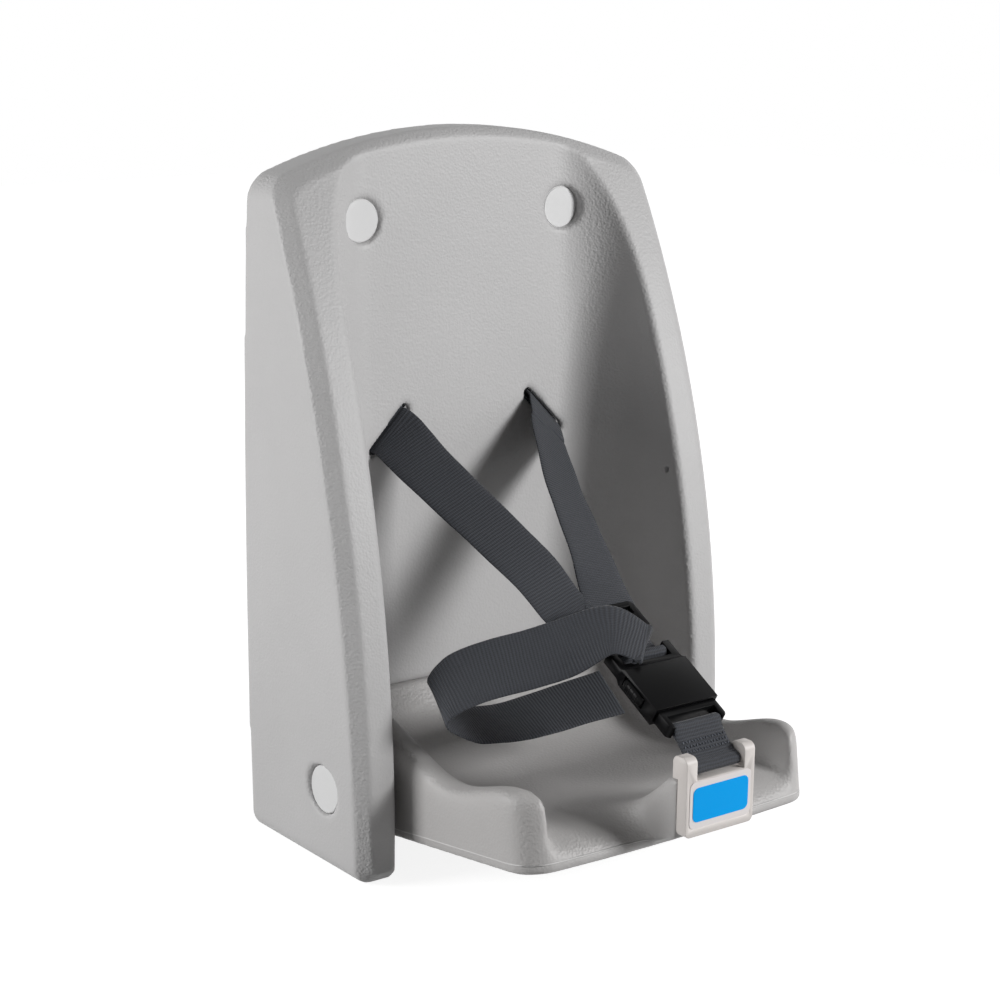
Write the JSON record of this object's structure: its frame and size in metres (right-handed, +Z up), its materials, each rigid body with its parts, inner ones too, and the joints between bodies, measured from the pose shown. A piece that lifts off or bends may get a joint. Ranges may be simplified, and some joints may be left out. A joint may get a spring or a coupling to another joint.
{
  "type": "wall mounted child seat",
  "caption": "Fold-up child seat for a wall: arched shell with two wings, a hinged tray seat and a strap harness with a side release buckle",
  "frame": {"origin": "centre of the four wall screw holes, on the wall plane", "axes": "+X to the right seen from the front, -Y out of the wall to the front, +Z up"},
  "size_m": [0.311, 0.2982, 0.467],
  "materials": {
    "shell": "fine pebble moulded polyethylene",
    "pan": "fine pebble moulded polyethylene",
    "cap": "smooth moulded",
    "cover": "smooth moulded",
    "label": "smooth",
    "label_field": "printed film",
    "steel": "zinc plated",
    "bush": "nylon",
    "rubber": "moulded",
    "web": "woven nylon webbing",
    "buckle": "acetal, satin"
  },
  "bodies": {
    "shell": {"back_shell": "shell", "left_screw_cap": "cap", "right_screw_cap": "cap", "left_wing_cap": "cap", "right_wing_cap": "cap", "hinge_rod": "steel", "left_rod_clip": "steel", "right_rod_clip": "steel", "left_anchor_rod": "steel", "right_anchor_rod": "steel", "left_shoulder_strap": "web", "right_shoulder_strap": "web"},
    "seat": {"seat_pan": "pan", "left_hinge_bush": "bush", "right_hinge_bush": "bush", "left_stop_pad": "rubber", "right_stop_pad": "rubber", "post_cover": "cover", "label_plate": "label", "label_field": "label_field", "crotch_pin": "steel"},
    "harness": {"crotch_strap": "web", "buckle_insert": "buckle", "buckle_housing": "buckle", "adjusting_strap": "web"},
    "left_prong": {"left_latch_prong": "buckle"},
    "right_prong": {"right_latch_prong": "buckle"},
    "slide": {"strap_slide": "buckle", "strap_tail": "web"}
  },
  "joints": [
    {"name": "seat_fold", "type": "hinge", "parent": "shell", "child": "seat", "pos_m": [0, -0.089, -0.15825], "axis": [-1, 0, 0], "range_deg": [0, 82], "deforming": ["left_shoulder_strap", "right_shoulder_strap", "strap_tail"]},
    {"name": "harness_lay", "type": "hinge", "parent": "seat", "child": "harness", "pos_m": [0, -0.2904, -0.11135], "axis": [-1, 0, 0], "range_deg": [0, 35.26]},
    {"name": "left_latch_press", "type": "slide", "parent": "harness", "child": "left_prong", "axis": [1, 0, 0], "range_m": [0, 0.0024], "stiffness_N_per_m": 250},
    {"name": "right_latch_press", "type": "slide", "parent": "harness", "child": "right_prong", "axis": [-1, 0, 0], "range_m": [0, 0.0024], "stiffness_N_per_m": 250},
    {"name": "slide_adjust", "type": "slide", "parent": "harness", "child": "slide", "axis": [0, -0.8704, -0.4924], "range_m": [-0.008, 0.012]}
  ],
  "couplings": [
    {"joint": "harness_lay", "follows": "seat_fold", "ratio": 0.43},
    {"joint": "right_latch_press", "follows": "left_latch_press", "ratio": 1}
  ]
}
